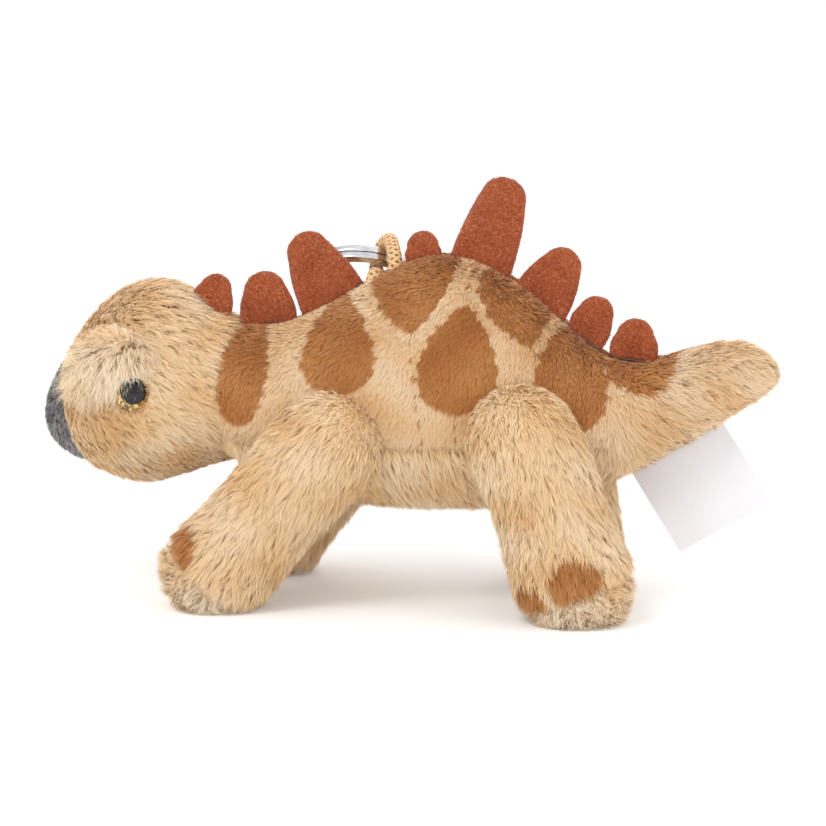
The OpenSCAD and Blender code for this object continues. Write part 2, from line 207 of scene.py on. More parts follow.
def new_object(name, points, faces, material=None):
    mesh = bpy.data.meshes.new(name)
    mesh.from_pydata(np.asarray(points).tolist(), [], faces)
    mesh.update()
    mesh.shade_smooth()
    obj = bpy.data.objects.new(name, mesh)
    bpy.context.scene.collection.objects.link(obj)
    if material:
        mesh.materials.append(material)
    return obj


def subset(points, faces, keep):
    """The points and faces of the faces that keep marks."""
    kept = [f for f, k in zip(faces, keep) if k]
    used = sorted({i for f in kept for i in f})
    place = {old: new for new, old in enumerate(used)}
    return points[used], [tuple(place[i] for i in f) for f in kept]


def centres(points, faces):
    return np.array([points[list(f)].mean(0) for f in faces])


def triangles(faces):
    out = []
    for f in faces:
        out.append(f[:3])
        if len(f) == 4:
            out.append((f[0], f[2], f[3]))
    return np.array(out)


def point_normals(points, tris):
    a, b, c = (points[tris[:, i]] for i in range(3))
    flat = np.cross(b - a, c - a)
    normals = np.zeros_like(points)
    for i in range(3):
        np.add.at(normals, tris[:, i], flat)
    return unit(normals)


# ---- Materials ----

# Sockets of a Mix node that mixes colours: factor, both colours, result
MIX_INPUTS, MIX_OUTPUT = (0, 6, 7), 2


class Nodes:
    """A short way to write a material's node tree. The values go to its Principled shader."""

    def __init__(self, name, **values):
        self.material = bpy.data.materials.new(name)
        self.material.use_nodes = True
        self.tree = self.material.node_tree
        self.tree.nodes.clear()
        self.shader = self.add("ShaderNodeBsdfPrincipled")
        output = self.add("ShaderNodeOutputMaterial")
        self.link(self.shader.outputs[0], output.inputs["Surface"])
        for key, value in values.items():
            self.shader.inputs[key.replace("_", " ")].default_value = value

    def add(self, kind, **values):
        node = self.tree.nodes.new(kind)
        for key, value in values.items():
            if hasattr(node, key):
                setattr(node, key, value)
            else:
                node.inputs[key.replace("_", " ")].default_value = value
        return node

    def link(self, a, b):
        self.tree.links.new(a, b)

    def feed(self, socket, value):
        """Links another node's output into a socket, or sets a plain value there."""
        if isinstance(value, bpy.types.NodeSocket):
            self.link(value, socket)
        else:
            socket.default_value = value

    def place(self):
        return self.add("ShaderNodeTexCoord").outputs["Object"]

    def noise(self, scale, detail=3.0, roughness=0.5, vector=None):
        node = self.add("ShaderNodeTexNoise", Scale=scale, Detail=detail, Roughness=roughness)
        self.link(vector or self.place(), node.inputs["Vector"])
        return node.outputs["Fac"]

    def ramp(self, value, stops):
        node = self.add("ShaderNodeValToRGB")
        elements = node.color_ramp.elements
        elements[0].position, elements[0].color = stops[0][0], linear(stops[0][1])
        elements[1].position, elements[1].color = stops[-1][0], linear(stops[-1][1])
        for position, code in stops[1:-1]:
            elements.new(position).color = linear(code)
        self.link(value, node.inputs["Fac"])
        return node.outputs["Color"]

    def mix(self, factor, a, b, mode="MIX"):
        node = self.add("ShaderNodeMix", data_type="RGBA", blend_type=mode)
        for index, value in zip(MIX_INPUTS, (factor, a, b)):
            self.feed(node.inputs[index], value)
        return node.outputs[MIX_OUTPUT]

    def math(self, operation, *values):
        node = self.add("ShaderNodeMath", operation=operation)
        for socket, value in zip(node.inputs, values):
            self.feed(socket, value)
        return node.outputs[0]

    def bump(self, height, strength, distance):
        node = self.add("ShaderNodeBump", Strength=strength, Distance=distance)
        self.link(height, node.inputs["Height"])
        self.link(node.outputs[0], self.shader.inputs["Normal"])

    def colour(self, socket):
        self.link(socket, self.shader.inputs["Base Color"])
        return self.material


PILE_UV = "OFBake"
STRAND_STOPS = (0.0, 0.35, 0.95)
SPOT_START = 0.75


def pile_material(name, colours, tones=("#F0D6B0", "#FBF0E0")):
    """Pile whose colour is read along each strand (v) and across the shades of the fabric (u)."""
    n = Nodes(name, Roughness=0.82, Specular_IOR_Level=0.18, Sheen_Weight=0.3, Sheen_Roughness=0.45)
    uv = n.add("ShaderNodeUVMap", uv_map=PILE_UV)
    parts = n.add("ShaderNodeSeparateXYZ")
    n.link(uv.outputs[0], parts.inputs[0])
    shade, along = parts.outputs[0], parts.outputs[1]
    # Darker towards each strand's root: painted shade deep in the pile
    fabric = n.ramp(along, list(zip(STRAND_STOPS, colours)))
    printed = n.ramp(along, list(zip(STRAND_STOPS, BROWN)))
    colour = n.mix(n.math("GREATER_THAN", shade, SPOT_START - 0.02), fabric, printed)
    tone = n.ramp(shade, [
        (0.0, tones[0]), (0.3, tones[1]), (0.7, "#FFFFFF"), (SPOT_START, "#DCC4AC"), (0.99, "#FFFFFF")
    ])
    return n.colour(n.mix(1.0, colour, tone, "MULTIPLY"))


def backing_material(name, dark, light, spots=False):
    """Woven backing under the pile, with the printed spots from the point attribute spot."""
    n = Nodes(name, Roughness=0.95, Specular_IOR_Level=0.1, Sheen_Weight=0.2)
    colour = n.ramp(n.noise(900.0, 4.0), [(0.3, dark), (0.7, light)])
    if spots:
        attribute = n.add("ShaderNodeAttribute", attribute_name="spot")
        brown = n.ramp(n.noise(900.0, 4.0), [(0.3, BROWN[0]), (0.7, BROWN[1])])
        colour = n.mix(attribute.outputs["Fac"], colour, brown)
    n.bump(n.noise(2500.0, 2.0), 0.5, 0.0003)
    return n.colour(colour)


def felt_material():
    n = Nodes("rust_felt", Roughness=0.95, Specular_IOR_Level=0.12, Sheen_Weight=0.35, Sheen_Roughness=0.5)
    fibres = n.noise(2200.0, 6.0, 0.8)
    base = n.ramp(fibres, [(0.32, "#7A3018"), (0.44, "#A14A26"), (0.55, "#B86036"), (0.66, "#DB9468")])
    patches = n.ramp(n.noise(180.0, 3.0), [(0.3, "#D9CBC4"), (0.7, "#FFFFFF")])
    n.bump(fibres, 0.9, 0.0004)
    return n.colour(n.mix(0.8, base, patches, "MULTIPLY"))


def felt_fuzz_material():
    n = Nodes("felt_fuzz", Roughness=0.9, Specular_IOR_Level=0.15, Sheen_Weight=0.3)
    return n.colour(n.ramp(n.noise(1200.0, 2.0), [(0.3, "#8E3E1E"), (0.55, "#B96238"), (0.7, "#DB9A6C")]))


def fibrefill_material():
    n = Nodes("fibrefill", Roughness=0.9, Sheen_Weight=0.3)
    n.bump(n.noise(700.0, 6.0, 0.7), 0.8, 0.0006)
    return n.colour(n.ramp(n.noise(400.0, 5.0), [(0.3, "#D8D6D0"), (0.7, "#F4F3EF")]))


def nylon_material():
    n = Nodes("nylon", Roughness=0.42)
    n.bump(n.noise(3000.0, 2.0), 0.2, 0.0001)
    return n.colour(n.ramp(n.noise(300.0, 2.0), [(0.3, "#CFCFC8"), (0.7, "#DEDED8")]))


def thread_material():
    n = Nodes("seam_thread", Roughness=0.7, Sheen_Weight=0.25)
    n.bump(n.noise(4000.0, 2.0), 0.5, 0.0001)
    return n.colour(n.ramp(n.noise(2500.0, 3.0), [(0.3, "#B78A52"), (0.7, "#D9B27A")]))


def cord_material():
    """Braided cord: a point attribute of painted shade darkens the gaps between its strands."""
    n = Nodes("braided_cord", Roughness=0.75, Sheen_Weight=0.35, Sheen_Roughness=0.4)
    strand = n.ramp(n.noise(3500.0, 4.0), [(0.3, "#D09C63"), (0.55, "#E6BE8C"), (0.75, "#F2D4A8")])
    # Painted shade in the gaps between the braid's strands
    groove_shade = n.add("ShaderNodeAttribute", attribute_name="groove_shade")
    n.bump(n.noise(5000.0, 2.0), 0.5, 0.0001)
    return n.colour(n.mix(groove_shade.outputs["Fac"], strand, linear("#8A5A2C")))


def steel_material():
    n = Nodes("ring_steel", Metallic=1.0)
    scratches = n.noise(1400.0, 5.0, 0.7)
    n.link(n.math("MULTIPLY_ADD", scratches, 0.22, 0.06), n.shader.inputs["Roughness"])
    n.bump(scratches, 0.12, 0.00005)
    return n.colour(n.ramp(n.noise(250.0, 3.0), [(0.35, "#C9C9CC"), (0.65, "#E8E8EA")]))


def label_material():
    n = Nodes("label_satin", Roughness=0.55, Sheen_Weight=0.2, Specular_IOR_Level=0.35)
    weave = n.add("ShaderNodeTexWave", Scale=900.0, Distortion=0.6)
    n.link(n.place(), weave.inputs["Vector"])
    n.bump(weave.outputs["Fac"], 0.25, 0.00005)
    return n.colour(n.ramp(n.noise(60.0, 2.0), [(0.3, "#DEDCE0"), (0.7, "#E4E2E6")]))


def glitter_material():
    """Gold glitter under a clear dome: small flakes, each with its own tone and tilt. The gold is their
    own colour; their spread from dark brown to pale gold is painted glint and painted shade.
    """
    n = Nodes("eye_glitter", Metallic=0.6, Roughness=0.28, Coat_Weight=1.0, Coat_Roughness=0.03)
    flakes = n.add("ShaderNodeTexVoronoi", Scale=2600.0)
    n.link(n.place(), flakes.inputs["Vector"])
    tone = n.add("ShaderNodeSeparateColor")
    n.link(flakes.outputs["Color"], tone.inputs[0])
    n.bump(tone.outputs[0], 0.9, 0.0002)
    # Painted glint and shade: pale flakes as if lit, dark flakes as if in shade, over the flakes' own gold
    return n.colour(n.ramp(
        tone.outputs[1], [(0.0, "#3E2A10"), (0.3, "#8A6424"), (0.6, "#C79B45"), (0.85, "#F1D48A")]
    ))


def pupil_material():
    n = Nodes("eye_pupil", Roughness=0.15, Specular_IOR_Level=0.25, Coat_Weight=0.45, Coat_Roughness=0.03)
    return n.colour(n.ramp(n.noise(200.0, 1.0), [(0.3, "#060504"), (0.7, "#0E0B09")]))


def studio_material():
    n = Nodes(
        "studio_floor", Roughness=0.9, Specular_IOR_Level=0.1, Emission_Color=WHITE, Emission_Strength=0.12
    )
    return n.colour(n.ramp(n.noise(6.0, 2.0), [(0.2, "#F8F8F7"), (0.8, "#F8F8F7")]))


MATERIALS = {
    "sand_backing": backing_material("sand_backing", "#DDB27A", "#EBCB98"),
    "printed_backing": backing_material("printed_backing", "#E0BD8C", "#EFD3A6", spots=True),
    "grey_backing": backing_material("grey_backing", "#5A5554", "#7C7776"),
    "sand_pile": pile_material("sand_pile", SAND),
    "printed_pile": pile_material("printed_pile", CREAM),
    "pale_pile": pile_material("pale_pile", PALE),
    "grey_pile": pile_material("grey_pile", GREY, ("#CFCFD2", "#EDEDEF")),
    "felt": felt_material(),
    "fuzz": felt_fuzz_material(),
    "fibrefill": fibrefill_material(),
    "nylon": nylon_material(),
    "thread": thread_material(),
    "cord": cord_material(),
    "steel": steel_material(),
    "label": label_material(),
    "glitter": glitter_material(),
    "pupil": pupil_material(),
}


# ---- Camera and cord ----

AIM = Vector((1.75, 0, 35)) * MM
AZIMUTH, ELEVATION, DISTANCE = math.radians(11), math.radians(9), 0.6
LENS, SENSOR = 138.6, 36.0


def add_camera():
    level = math.cos(ELEVATION)
    forward = Vector((-math.sin(AZIMUTH) * level, math.cos(AZIMUTH) * level, -math.sin(ELEVATION)))
    data = bpy.data.cameras.new("camera")
    data.lens = LENS
    data.sensor_width = SENSOR
    data.clip_start = 0.01
    camera = bpy.data.objects.new("camera", data)
    camera.location = AIM - forward * DISTANCE
    camera.rotation_euler = forward.to_track_quat("-Z", "Y").to_euler()
    bpy.context.scene.collection.objects.link(camera)
    bpy.context.scene.camera = camera


def sweep_frames(path):
    """Unit vectors along, across and upright at each point of a path, with the least twist."""
    along = unit(np.gradient(path, axis=0))
    across = [unit(np.cross(along[0], (0.3, 1.0, 0.1)))]
    for direction in along[1:]:
        across.append(unit(across[-1] - direction * (across[-1] @ direction)))
    across = np.array(across)
    return along, across, np.cross(along, across)


def resample(values, run, spots):
    """Values known along a run, read at other spots of it."""
    return np.stack([np.interp(spots, run, values[:, k]) for k in range(3)], 1)


def braided_cord():
    """A round braid of eight strands, as ridges that cross over and under round the cord."""
    steps, sides, pairs = 10, 48, 4
    lay, spacing = 5.2 * MM, 0.09 * MM
    lift, relief = 0.25, 0.10
    path = catmull(CORD_ROUTE, steps)
    _, across, upright = sweep_frames(path)
    run = np.concatenate([[0], np.cumsum(np.linalg.norm(np.diff(path, axis=0), axis=1))])
    fine = np.arange(0, run[-1], spacing)
    path, across, upright = (resample(values, run, fine) for values in (path, across, upright))
    angle = 2 * math.pi * np.arange(sides) / sides
    turn = 2 * math.pi * fine[:, None] / lay
    one = np.cos(pairs * (angle[None] - turn))
    other = np.cos(pairs * (angle[None] + turn))
    over = np.sin(2 * turn) * lift
    height = np.maximum(one + over, other - over)
    radius = CORD_D / 2 * (1 - relief + relief * np.clip(height, -1, 1))
    ring = across[:, None] * np.cos(angle)[None, :, None] + upright[:, None] * np.sin(angle)[None, :, None]
    points, faces = loft(path[:, None] + ring * radius[..., None])
    cord = new_object("cord_loop_braid", points, faces, MATERIALS["cord"])
    # Painted shade: darkest in the low gaps between the strands
    groove_shade = cord.data.attributes.new("groove_shade", "FLOAT", "POINT")
    dark = smooth(-height, -0.55, 0.5).reshape(-1)
    groove_shade.data.foreach_set("value", np.concatenate([dark, [1, 1]]).astype(np.float32))
    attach(cord, "torso")
    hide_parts("cord_loop")


# ---- Skins: the sewn and stuffed fabric under the pile ----

# The cloth is simulated ten times as large as it is
SIM_SCALE = 10.0
SIM_FRAMES = 20
PRESSURE = 3.0
SEAM_HELD = 0.6 * MM
CREASE_WIDTH, CREASE_DEPTH = 1.1 * MM, 0.6 * MM


def puff(points, faces, pinned, cap):
    """Inflates a closed skin as cloth held at its seams, and moves no point by more than cap."""
    scene = bpy.context.scene
    obj = new_object("puff", points * SIM_SCALE, faces)
    group = obj.vertex_groups.new(name="seams")
    group.add([int(i) for i in np.flatnonzero(pinned)], 1.0, "REPLACE")
    cloth = obj.modifiers.new("Cloth", "CLOTH")
    cloth.settings.quality = 4
    cloth.settings.use_pressure = True
    cloth.settings.uniform_pressure_force = PRESSURE
    cloth.settings.effector_weights.gravity = 0
    cloth.settings.vertex_group_mass = "seams"
    cloth.point_cache.frame_start = 1
    cloth.point_cache.frame_end = SIM_FRAMES
    for f in range(1, SIM_FRAMES + 1):
        scene.frame_set(f)
    done = obj.evaluated_get(bpy.context.evaluated_depsgraph_get()).to_mesh()
    moved = np.empty(len(points) * 3)
    done.vertices.foreach_get("co", moved)
    move = moved.reshape(-1, 3) / SIM_SCALE - points
    far = np.linalg.norm(move, axis=1, keepdims=True)
    bpy.data.objects.remove(obj)
    scene.frame_set(1)
    return points + move * np.minimum(1, cap / np.maximum(far, 1e-9))


def lumps(points, normals, size, depth):
    """Moves points along their normals by a few crossed waves, as uneven stuffing does."""
    p = points / size
    wave = (
        np.sin(p[:, 0] * 1.3 + 2.1 * np.sin(p[:, 2] * 0.7))
        + np.sin(p[:, 1] * 1.7 + 1.3 * np.sin(p[:, 0] * 0.9) + 1.0)
        + np.sin(p[:, 2] * 1.5 + 1.7 * np.sin(p[:, 1] * 0.8) + 2.0)
    )
    return points + normals * (depth / 3 * wave)[:, None]


def oval_rings(stations, steps, sides):
    """Rings of the body or the head, of the CAD model's shape."""
    rows = catmull(stations, steps)
    angle = 2 * math.pi * np.arange(sides) / sides
    c, s = np.cos(angle), np.sin(angle)
    wide = np.sign(c) * np.abs(c) ** ROUNDNESS
    tall = np.sign(s) * np.abs(s) ** ROUNDNESS
    x, low, high, half = (rows[:, i, None] for i in range(4))
    level = low + WIDEST_LEVEL * (high - low)
    z = level + np.where(s > 0, high - level, level - low) * tall
    return np.stack([x + 0 * angle, half * wide, z], 2) * MM


def crease(points, normals, distance):
    """Draws points in near a seam, from their distance to it."""
    return points - normals * (CREASE_DEPTH * np.exp(-(distance / CREASE_WIDTH) ** 2))[:, None]


def sewn_skin(rings, seam_distance, lump_size, lump_depth, cap, ends=(True, True)):
    """A stuffed skin: inflated between its seams, uneven, and drawn in along them."""
    points, faces = loft(rings, *ends)
    distance = seam_distance(points)
    points = puff(points, faces, distance < SEAM_HELD, cap)
    normals = point_normals(points, triangles(faces))
    points = lumps(points, normals, lump_size, lump_depth)
    points = crease(points, normals, seam_distance(points))
    return points, faces


def drop_shape(x, z, point_end, round_end, half, oval):
    """1 inside a printed spot and 0 outside, softly across its edge. x and z in millimetres."""
    start, end = np.array(point_end, float), np.array(round_end, float)
    axis = end - start
    length = np.linalg.norm(axis)
    axis /= length
    dx, dz = x - start[0], z - start[1]
    s = np.clip((dx * axis[0] + dz * axis[1]) / length, 0, 1)
    off = dz * axis[0] - dx * axis[1]
    drop = 1.86 * s ** 0.85 * np.sqrt(1 - s * s)  # about 1 at its widest
    ellipse = 2 * np.sqrt(s * (1 - s))
    width = half * ((1 - oval) * drop + oval * ellipse)
    ragged = 0.25 * np.sin(z * 2.3 + x) + 0.2 * np.sin(x * 3.1 - z * 1.2)
    return smooth(width + ragged - np.abs(off), -0.25, 0.35)


def spot_amount(points):
    x, z = points[:, 0] / MM, points[:, 2] / MM
    return np.max([drop_shape(x, z, *spot) for spot in SPOTS], axis=0)


def toe_amount(points, leg, end):
    """1 inside a printed toe spot, from its place along and across the leg."""
    hip, down, back = leg_axes(leg)
    away = points * [1, 0, 1] - hip * [1, 0, 1]
    out = np.abs(points[:, 1]) / MM - LEG_Y
    place = np.stack([away @ down / MM, -(away @ back) / MM, out], 1)
    inside = []
    for *centre, radius in TOE_SPOTS[end]:
        inside.append(smooth(radius - np.linalg.norm(place - centre, axis=1), -0.3, 0.3))
    return np.max(inside, axis=0)


# A distance beyond the reach of any seam
FAR = 1.0


def body_seams(points):
    """Distance to the nearest seam: along the back, along the belly panel's edges and under the tail."""
    x, y, z = points.T
    back = np.where(z > BACK_LEVEL * MM, np.abs(y), FAR)
    belly = np.abs(z - BELLY_LINE * MM) + np.where(x > BELLY_END * MM, FAR, 0.0)
    under_tail = np.where((x > UNDER_TAIL[0] * MM) & (z < UNDER_TAIL[1] * MM), np.abs(y), FAR)
    return np.minimum(np.minimum(back, belly), under_tail)


def muzzle_distance(points):
    """Signed distance in front of the muzzle's seam."""
    x, z = points[:, 0] / MM - MUZZLE_SEAM[0], points[:, 2] / MM - MUZZLE_SEAM[1]
    return -(x * math.cos(MUZZLE_LEAN) + z * math.sin(MUZZLE_LEAN)) * MM


def head_seams(points):
    top = np.where(points[:, 2] > CROWN_LEVEL * MM, np.abs(points[:, 1]), FAR)
    return np.minimum(np.abs(muzzle_distance(points)), top)


def skin_piece(name, points, faces, keep, material, spots=None):
    part, part_faces = subset(points, faces, keep)
    obj = new_object(name, part, part_faces, MATERIALS[material])
    if spots is not None:
        attribute = obj.data.attributes.new("spot", "FLOAT", "POINT")
        attribute.data.foreach_set("value", spots(part).astype(np.float32))
    return obj


# ---- Pile: strands of mesh, rooted on the skins ----

# The lowest that a strand may reach
PILE_GROUND = 0.03 * MM


class Pile:
    """Strands scattered over a skin. Settings are in metres, or shares of a strand's length."""

    def __init__(self, points, faces, seed):
        self.points = points
        self.tris = triangles(faces)
        self.normals = point_normals(points, self.tris)
        self.rng = np.random.default_rng(seed)

    def scatter(self, density, weight):
        a, b, c = (self.points[self.tris[:, i]] for i in range(3))
        area = 0.5 * np.linalg.norm(np.cross(b - a, c - a), axis=1) * weight((a + b + c) / 3)
        count = int(area.sum() / MM ** 2 * density)
        pick = self.rng.choice(len(self.tris), count, p=area / area.sum())
        u, v = self.rng.random(count), self.rng.random(count)
        over = u + v > 1
        u[over], v[over] = 1 - u[over], 1 - v[over]
        share = np.stack([1 - u - v, u, v], 1)[..., None]
        corners = self.tris[pick]
        return (self.points[corners] * share).sum(1), unit((self.normals[corners] * share).sum(1))

    def grow(self, name, material, density, length, flow, shade, weight=None, width=0.105 * MM, rise=0.5,
             clump=0.9 * MM, gather=0.17, stray=0.24, droop=0.06, segments=2):
        rng = self.rng
        roots, normals = self.scatter(density, weight or (lambda p: np.ones(len(p))))
        count = len(roots)
        wave = np.sin(roots[:, (1, 2, 0)] / (1.6 * clump) + np.array([0.3, 1.9, 4.1]))
        warped = roots + 0.5 * clump * wave
        _, tuft = np.unique(np.floor(warped / clump).astype(int), axis=0, return_inverse=True)
        tuft = tuft.reshape(-1)
        tufts = tuft.max() + 1
        sway = rng.normal(size=(tufts, 3))[tuft] * stray + rng.normal(size=(count, 3)) * stray * 0.7
        lean = unit(flow(roots, normals)) + sway
        lean = unit(lean - normals * (lean * normals).sum(1, keepdims=True))
        uneven = (1 + 0.12 * rng.uniform(-1, 1, tufts)[tuft]) * rng.uniform(0.7, 1.1, count)
        grown = (length(roots) * uneven)[:, None]
        if callable(rise):
            rise = rise(roots)
        lift = 1 + 0.22 * rng.uniform(-1, 1, tufts)[tuft] + 0.2 * rng.uniform(-1, 1, count)
        lift = (rise * lift)[:, None]
        tip = roots + grown * unit(normals * lift + lean * (1 - 0.35 * lift)) - UP * droop * grown
        mid = roots + 0.5 * grown * unit(normals * lift * 1.7 + lean * (1 - 0.35 * lift))
        size = np.bincount(tuft, minlength=tufts)[:, None]
        middle = np.stack([np.bincount(tuft, tip[:, k], tufts) for k in range(3)], 1) / size
        tip += gather * (middle[tuft] - tip)
        mid += 0.25 * gather * (middle[tuft] - tip)
        axis = unit(tip - roots)
        flat = unit(np.cross(axis, normals))
        spin = rng.uniform(-0.9, 0.9, count)[:, None]
        side = flat * np.cos(spin) + np.cross(axis, flat) * np.sin(spin)
        facing = unit(np.cross(side, axis))
        side *= np.where((facing * normals).sum(1, keepdims=True) < 0, -1, 1)
        facing = unit(np.cross(side, axis))
        half = 0.5 * width * rng.uniform(0.7, 1.3, count)[:, None]
        levels = [roots - side * half, roots + side * half]
        if segments == 2:
            levels += [mid - side * half * 0.9, mid + side * half * 0.9]
        levels.append(tip)
        points = np.stack(levels, 1)
        points[..., 2] = np.maximum(points[..., 2], PILE_GROUND)
        self.build(name, material, points, unit(normals + 0.55 * facing), shade(roots, rng))
        return bpy.data.objects[name]

    @staticmethod
    def build(name, material, points, normals, shade):
        """One mesh of all the strands: a quad and a triangle each, or one triangle for short pile."""
        count, per = points.shape[:2]
        base = np.arange(count)[:, None] * per
        step = 0.002
        low = shade[:, None]
        if per == 5:
            quads = (base + [0, 1, 3, 2]).tolist()
            tips = (base + [2, 3, 4]).tolist()
            faces = [f for pair in zip(quads, tips) for f in pair]
            u = np.concatenate([low, low + step, low + step, low, low, low + step, low + step / 2], 1)
            v = np.tile([0, 0, 0.5, 0.5, 0.5, 0.5, 1.0], (count, 1))
        else:
            faces = (base + [0, 1, 2]).tolist()
            u = np.concatenate([low, low + step, low + step / 2], 1)
            v = np.tile([0.1, 0.1, 1.0], (count, 1))
        obj = new_object(name, points.reshape(-1, 3), faces, MATERIALS[material])
        layer = obj.data.uv_layers.new(name=PILE_UV)
        layer.data.foreach_set("uv", np.stack([u, v], 2).astype(np.float32).reshape(-1))
        obj.data.normals_split_custom_set_from_vertices(np.repeat(normals, per, 0).tolist())


def mottle(roots, rng):
    """0 to 1: broad soft patches, with a little of it from strand to strand."""
    x, y, z = (roots / (2.6 * MM)).T
    wave = np.sin(x + 1.4 * np.sin(z * 0.8)) + np.sin(z * 1.2 + 1.2 * np.sin(y + x * 0.6))
    return np.clip(0.5 + 0.19 * wave + rng.uniform(-0.28, 0.28, len(roots)), 0, 1)


def plain_range(tone):
    """Where a tone of 0 to 1 lies in the part of the range that plain fabric takes."""
    return 0.02 + 0.66 * tone


def plain_shade(roots, rng):
    return plain_range(mottle(roots, rng))


def spotted(amount):
    """Shades for a printed fabric: strands within a spot take the brown end of the range."""
    def shade(roots, rng):
        brown = rng.random(len(roots)) < amount(roots)
        tone = mottle(roots, rng)
        return np.where(brown, SPOT_START + 0.01 + 0.22 * tone, plain_range(tone))
    return shade


def steady(*direction):
    vector = np.array(direction, float)
    return lambda roots, normals: np.tile(vector, (len(roots), 1))


def even(length):
    return lambda roots: np.full(len(roots), length)


# ---- Body, head and tail ----

NECK_END, TAIL_START = -24 * MM, 36 * MM


def blend_neck(obj):
    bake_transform(obj)


def blend_tail(obj):
    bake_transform(obj)


def body_length(roots):
    """Short printed pile on the sides, and long pile on the tail."""
    x = roots[:, 0] / MM
    z = roots[:, 2] / MM
    tail = smooth(x + (47 - z) * 0.5, 44, 51)
    return (1.35 + 2.3 * tail * (1 - 0.3 * smooth(x, 58, 69))) * MM


def side_flow(roots, normals):
    x = roots[:, 0:1] / MM
    back = smooth(x, 34, 50)
    return (1 - back) * np.array([-0.35, 0, -0.95]) + back * np.array([0.9, 0, -0.3])


def make_body():
    points, faces = sewn_skin(oval_rings(BODY, 9, 84), body_seams, 9 * MM, 0.9 * MM, 0.9 * MM)
    middle = centres(points, faces)
    x, y, z = middle.T
    low = z < BELLY_LINE * MM
    torso = (x > NECK_END) & (x < TAIL_START)
    for side in (LEFT, RIGHT):
        half = y * side > 0
        name = SIDE_NAME[side]
        panel = skin_piece(
            f"side_panel_{name}_fabric", points, faces, torso & ~low & half,
            "printed_backing", spot_amount,
        )
        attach(panel, "torso")
        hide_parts(f"side_panel_{name}")
        tail = skin_piece(
            f"tail_cover_{name}_fabric", points, faces, (x >= TAIL_START) & half,
            "printed_backing", spot_amount,
        )
        blend_tail(tail)
        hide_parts(f"tail_cover_{name}")
    belly = skin_piece("belly_panel_fabric", points, faces, torso & low, "sand_backing")
    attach(belly, "torso")
    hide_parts("belly_panel")
    neck = skin_piece(
        "neck_fabric", points, faces, x <= NECK_END, "printed_backing", spot_amount
    )
    blend_neck(neck)

    spots = spotted(spot_amount)

    def zone(lowest, highest, belly_side=False):
        def weight(p):
            inside = (p[:, 0] >= lowest) & (p[:, 0] < highest)
            under = p[:, 2] < BELLY_LINE * MM
            return (inside & (under if belly_side else ~under)).astype(float)
        return weight

    short = dict(
        density=34, length=body_length, flow=side_flow, shade=spots, width=0.15 * MM, rise=0.45,
        clump=0.8 * MM, gather=0.15, stray=0.16, droop=0.02, segments=1,
    )
    pile = Pile(points, faces, 11)
    obj = pile.grow("side_panel_pile", "printed_pile", weight=zone(NECK_END, TAIL_START), **short)
    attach(obj, "torso")
    obj = pile.grow("neck_pile", "printed_pile", weight=zone(-1, NECK_END), **short)
    blend_neck(obj)
    obj = pile.grow(
        "belly_pile", "sand_pile", 17, even(3.4 * MM), steady(0.35, 0, -0.6), plain_shade,
        weight=zone(-30 * MM, TAIL_START, True), rise=0.65,
    )
    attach(obj, "torso")
    obj = pile.grow(
        "tail_pile", "printed_pile", 27, body_length, side_flow, spots,
        weight=lambda p: (p[:, 0] >= TAIL_START).astype(float), rise=0.45,
    )
    blend_tail(obj)


def eye_clear(points):
    """Distance from the nearer eye's centre on the cheek."""
    away = np.abs(points[:, 1]) - EYE[1] * MM
    return np.sqrt((points[:, 0] - EYE[0] * MM) ** 2 + away ** 2 + (points[:, 2] - EYE[2] * MM) ** 2)


def head_length(roots):
    """Pile of the head: shorter on the face and round the eyes."""
    x, z = roots[:, 0] / MM, roots[:, 2] / MM
    off_eye = smooth(eye_clear(roots), 3.4 * MM, 9 * MM)
    throat = smooth(x, -56, -44) * (1 - smooth(z, 28, 34))
    crown = smooth(x, -50, -42) * smooth(z, 46, 52)
    full = 2.0 + 1.6 * smooth(x, -62, -48)
    return full * (1 - 0.55 * throat + 0.25 * crown) * (0.4 + 0.6 * off_eye) * MM


def head_flow(roots, normals):
    """Combed back from the face and down the cheeks, and away from the eyes."""
    side = np.sign(roots[:, 1:2])
    comb = np.array([0.85, 0, -0.45]) + np.zeros((len(roots), 3))
    from_eye = roots - np.concatenate([0 * side + EYE[0], side * EYE[1], 0 * side + EYE[2]], 1) * MM
    near = 1 - smooth(np.linalg.norm(from_eye, axis=1, keepdims=True), 3 * MM, 4.6 * MM)
    return comb * (1 - near) + unit(from_eye) * near


